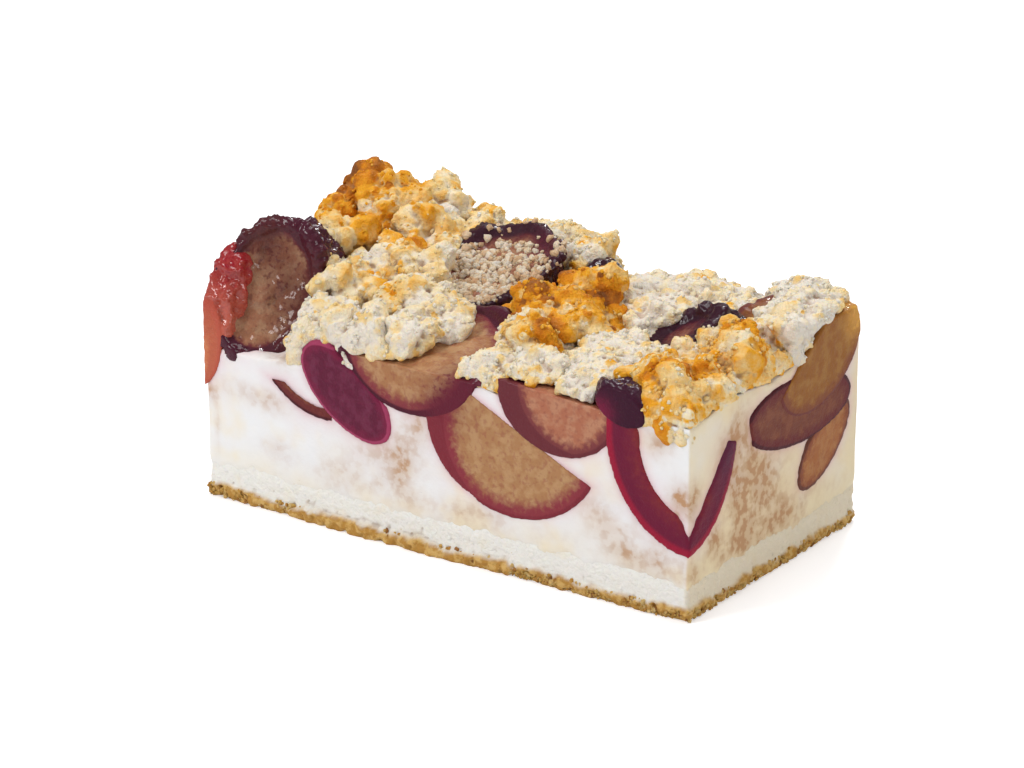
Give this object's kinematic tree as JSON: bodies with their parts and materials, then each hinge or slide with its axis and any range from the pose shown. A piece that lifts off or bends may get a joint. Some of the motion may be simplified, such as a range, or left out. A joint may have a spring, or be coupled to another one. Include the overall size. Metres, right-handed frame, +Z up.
{
  "type": "plum sheet cake slice",
  "caption": "Rectangular slice of sheet cake: dough base, white curd filling, baked plum pieces on the cut faces and a rough crumble top.",
  "frame": {"origin": "middle of the bounding box at the underside of the dough base", "axes": "+X along the slice's length towards the short cut face seen in the picture, +Z up, -Y towards the long cut face seen in the picture"},
  "size_m": [0.105, 0.0568, 0.0547],
  "materials": {
    "dough": "baked dough, matte and porous",
    "curd": "moist white curd, soft sheen",
    "plum": "wet baked plum, dark skin and tan flesh",
    "crumble": "baked butter crumble, matte and granular"
  },
  "bodies": {
    "root": {"crumble_back_centre": "crumble", "crumble_back_left": "crumble", "crumble_back_middle": "crumble", "crumble_centre": "crumble", "crumble_centre_front": "crumble", "crumble_fine_patch": "crumble", "crumble_left_front": "crumble", "crumble_left_middle": "crumble", "crumble_middle_left": "crumble", "crumble_peak": "crumble", "crumble_right_back": "crumble", "crumble_right_lump": "crumble", "crumble_right_middle": "crumble", "curd_filling": "curd", "dough_base": "dough", "plum_back_rim": "plum", "plum_back_tip": "plum", "plum_corner_cup": "plum", "plum_corner_fold": "plum", "plum_front_half": "plum", "plum_front_large": "plum", "plum_front_lens": "plum", "plum_front_sliver": "plum", "plum_front_upper": "plum", "plum_left_half": "plum", "plum_left_rear": "plum", "plum_left_red": "plum", "plum_rear_left": "plum", "plum_rear_middle": "plum", "plum_right_dark": "plum", "plum_right_lower": "plum", "plum_right_upper": "plum", "plum_top_small": "plum"}
  },
  "joints": []
}
